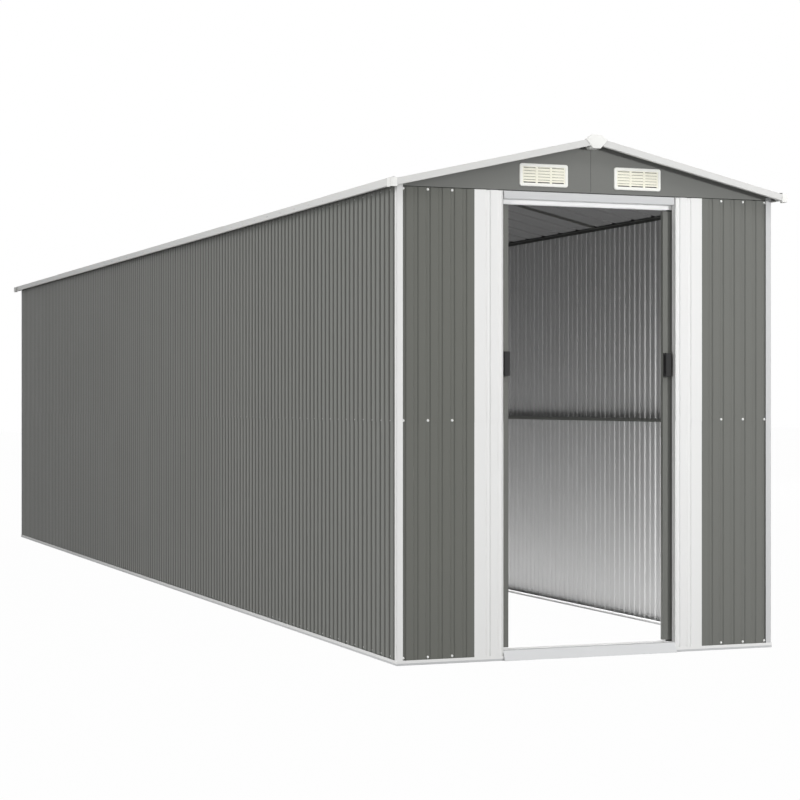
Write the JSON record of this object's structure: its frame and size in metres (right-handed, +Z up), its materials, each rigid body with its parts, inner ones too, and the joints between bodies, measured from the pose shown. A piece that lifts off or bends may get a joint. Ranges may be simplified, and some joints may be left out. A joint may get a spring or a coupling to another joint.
{
  "type": "metal storage shed",
  "caption": "Long narrow metal storage shed with ribbed grey walls, a low gable roof, white trims and a front doorway with two sliding doors.",
  "frame": {"origin": "middle of the roof's outline at ground level, under the base rails", "axes": "+X to the right seen from the front, +Y from the doorway end to the back, +Z up"},
  "size_m": [1.874, 8.55, 2.2215],
  "materials": {
    "grey_sheet": "satin stoved paint on galvanised steel sheet",
    "white_frame": "satin white paint on folded steel",
    "white_trim": "satin white paint on folded steel",
    "dark_rail": "satin grey paint on folded steel",
    "white_caps": "moulded, matt",
    "cream_vents": "moulded, matt",
    "black_handles": "moulded, matt",
    "dark_sliders": "moulded, smooth"
  },
  "bodies": {
    "shed": {"rail_front": "white_frame", "rail_back": "white_frame", "rail_left": "white_frame", "rail_right": "white_frame", "post_front_left": "white_frame", "post_front_right": "white_frame", "post_back_left": "white_frame", "post_back_right": "white_frame", "door_header": "white_frame", "door_track": "white_frame", "door_sill": "white_frame", "floor_track": "white_frame", "jamb_panel_left": "white_frame", "jamb_panel_right": "white_frame", "wall_left": "grey_sheet", "wall_right": "grey_sheet", "wall_back": "grey_sheet", "front_wall_left": "grey_sheet", "front_wall_right": "grey_sheet", "gable_front": "grey_sheet", "gable_back": "grey_sheet", "roof_left": "grey_sheet", "roof_right": "grey_sheet", "ridge_cap": "grey_sheet", "mid_rails": "dark_rail", "top_rails": "dark_rail", "ridge_beam": "dark_rail", "rafters": "dark_rail", "eave_trims": "white_trim", "rake_trims": "white_trim", "peak_caps": "white_caps", "corner_caps": "white_caps", "gable_vents": "cream_vents"},
    "left_door": {"door_left_sheet": "grey_sheet", "door_left_frame": "grey_sheet", "door_left_handle": "black_handles", "door_left_sliders": "dark_sliders"},
    "right_door": {"door_right_sheet": "grey_sheet", "door_right_frame": "grey_sheet", "door_right_handle": "black_handles", "door_right_sliders": "dark_sliders"}
  },
  "joints": [
    {"name": "left_door_slide", "type": "slide", "parent": "shed", "child": "left_door", "axis": [1, 0, 0], "range_m": [0, 0.3655]},
    {"name": "right_door_slide", "type": "slide", "parent": "shed", "child": "right_door", "axis": [-1, 0, 0], "range_m": [0, 0.3655]}
  ]
}
